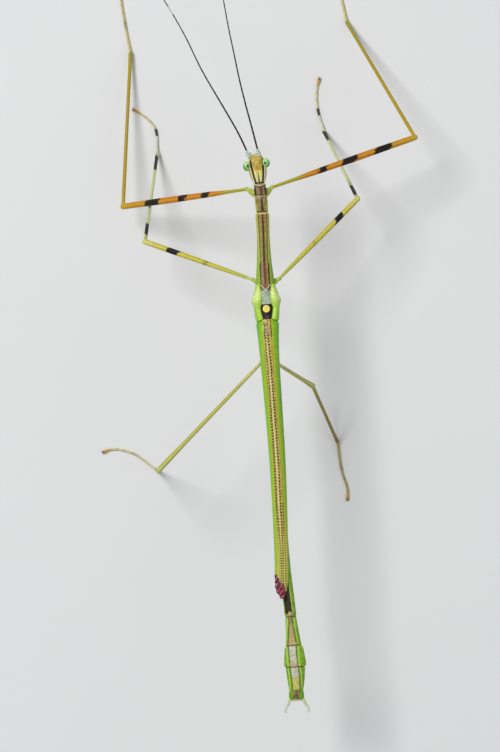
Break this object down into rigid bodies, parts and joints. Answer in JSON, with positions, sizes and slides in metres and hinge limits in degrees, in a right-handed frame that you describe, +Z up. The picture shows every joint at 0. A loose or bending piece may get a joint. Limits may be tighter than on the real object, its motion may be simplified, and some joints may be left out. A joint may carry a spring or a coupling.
{
  "type": "stick insect",
  "caption": "Winged male stick insect standing on long slender legs, with short fore wings, hind wings folded along the abdomen and thin feelers.",
  "frame": {"origin": "on the floor, under the middle of the whole insect with its feelers and feet", "axes": "+Y forward, towards the head and feelers; +X to the animal's right; +Z up from the floor to the back"},
  "size_m": [0.0422, 0.0992, 0.0209],
  "materials": {
    "terminal_segments": "satin cuticle, green sides with a pale grey stripe down the back",
    "abdomen": "satin cuticle, bright green",
    "feeler": "satin cuticle, black with a few pale rings",
    "feeler_base": "satin cuticle, bluish white",
    "cercus": "satin cuticle, pale green-white",
    "eye": "glossy, mint green with a pale rim and a dark false pupil",
    "coxa": "spiny cuticle, yellow-green",
    "front_femur": "satin cuticle, orange with black bands, green near the body",
    "tarsus": "satin cuticle, whitish with dark rings and an orange last joint",
    "front_tibia": "satin cuticle, yellow-brown",
    "head": "satin cuticle, yellow-olive with dark stripes",
    "hind_femur": "satin cuticle, yellow-green with an orange line",
    "hind_tibia": "satin cuticle, dull yellow-green",
    "thorax": "finely grained cuticle, brown back, olive yellow sides, dark dotted middle line",
    "metathorax": "finely grained cuticle, olive green with a grey-blue back",
    "mid_femur": "satin cuticle, yellow-green with orange lines and a black band",
    "mid_tibia": "satin cuticle, pale greenish white with black bands",
    "mouthparts": "satin cuticle, olive yellow",
    "tegmen": "leathery wing, yellow-green with a black diamond and a yellow spot between the pair",
    "hind_wing": "leathery folded wing, green with a golden brown band of dark dots along the back"
  },
  "bodies": {
    "root": {"abdomen_segment_10": "terminal_segments", "abdomen_segment_2": "abdomen", "abdomen_segment_3": "abdomen", "abdomen_segment_4": "abdomen", "abdomen_segment_5": "abdomen", "abdomen_segment_6": "abdomen", "abdomen_segment_7": "terminal_segments", "abdomen_segment_8": "terminal_segments", "abdomen_segment_9": "terminal_segments", "antenna_left_1": "feeler", "antenna_left_2": "feeler", "antenna_left_3": "feeler", "antenna_left_base": "feeler_base", "antenna_right_1": "feeler", "antenna_right_2": "feeler", "antenna_right_3": "feeler", "antenna_right_base": "feeler_base", "cercus_left": "cercus", "cercus_right": "cercus", "eye_left": "eye", "eye_right": "eye", "front_left_coxa": "coxa", "front_left_femur": "front_femur", "front_left_tarsus": "tarsus", "front_left_tibia": "front_tibia", "front_right_coxa": "coxa", "front_right_femur": "front_femur", "front_right_tarsus": "tarsus", "front_right_tibia": "front_tibia", "head": "head", "hind_left_coxa": "coxa", "hind_left_femur": "hind_femur", "hind_left_tarsus": "tarsus", "hind_left_tibia": "hind_tibia", "hind_right_coxa": "coxa", "hind_right_femur": "hind_femur", "hind_right_tarsus": "tarsus", "hind_right_tibia": "hind_tibia", "mesothorax": "thorax", "metathorax": "metathorax", "mid_left_coxa": "coxa", "mid_left_femur": "mid_femur", "mid_left_tarsus": "tarsus", "mid_left_tibia": "mid_tibia", "mid_right_coxa": "coxa", "mid_right_femur": "mid_femur", "mid_right_tarsus": "tarsus", "mid_right_tibia": "mid_tibia", "mouthparts": "mouthparts", "prothorax": "thorax", "tegmen_left": "tegmen", "tegmen_right": "tegmen", "wing_left": "hind_wing", "wing_right": "hind_wing"}
  },
  "joints": []
}
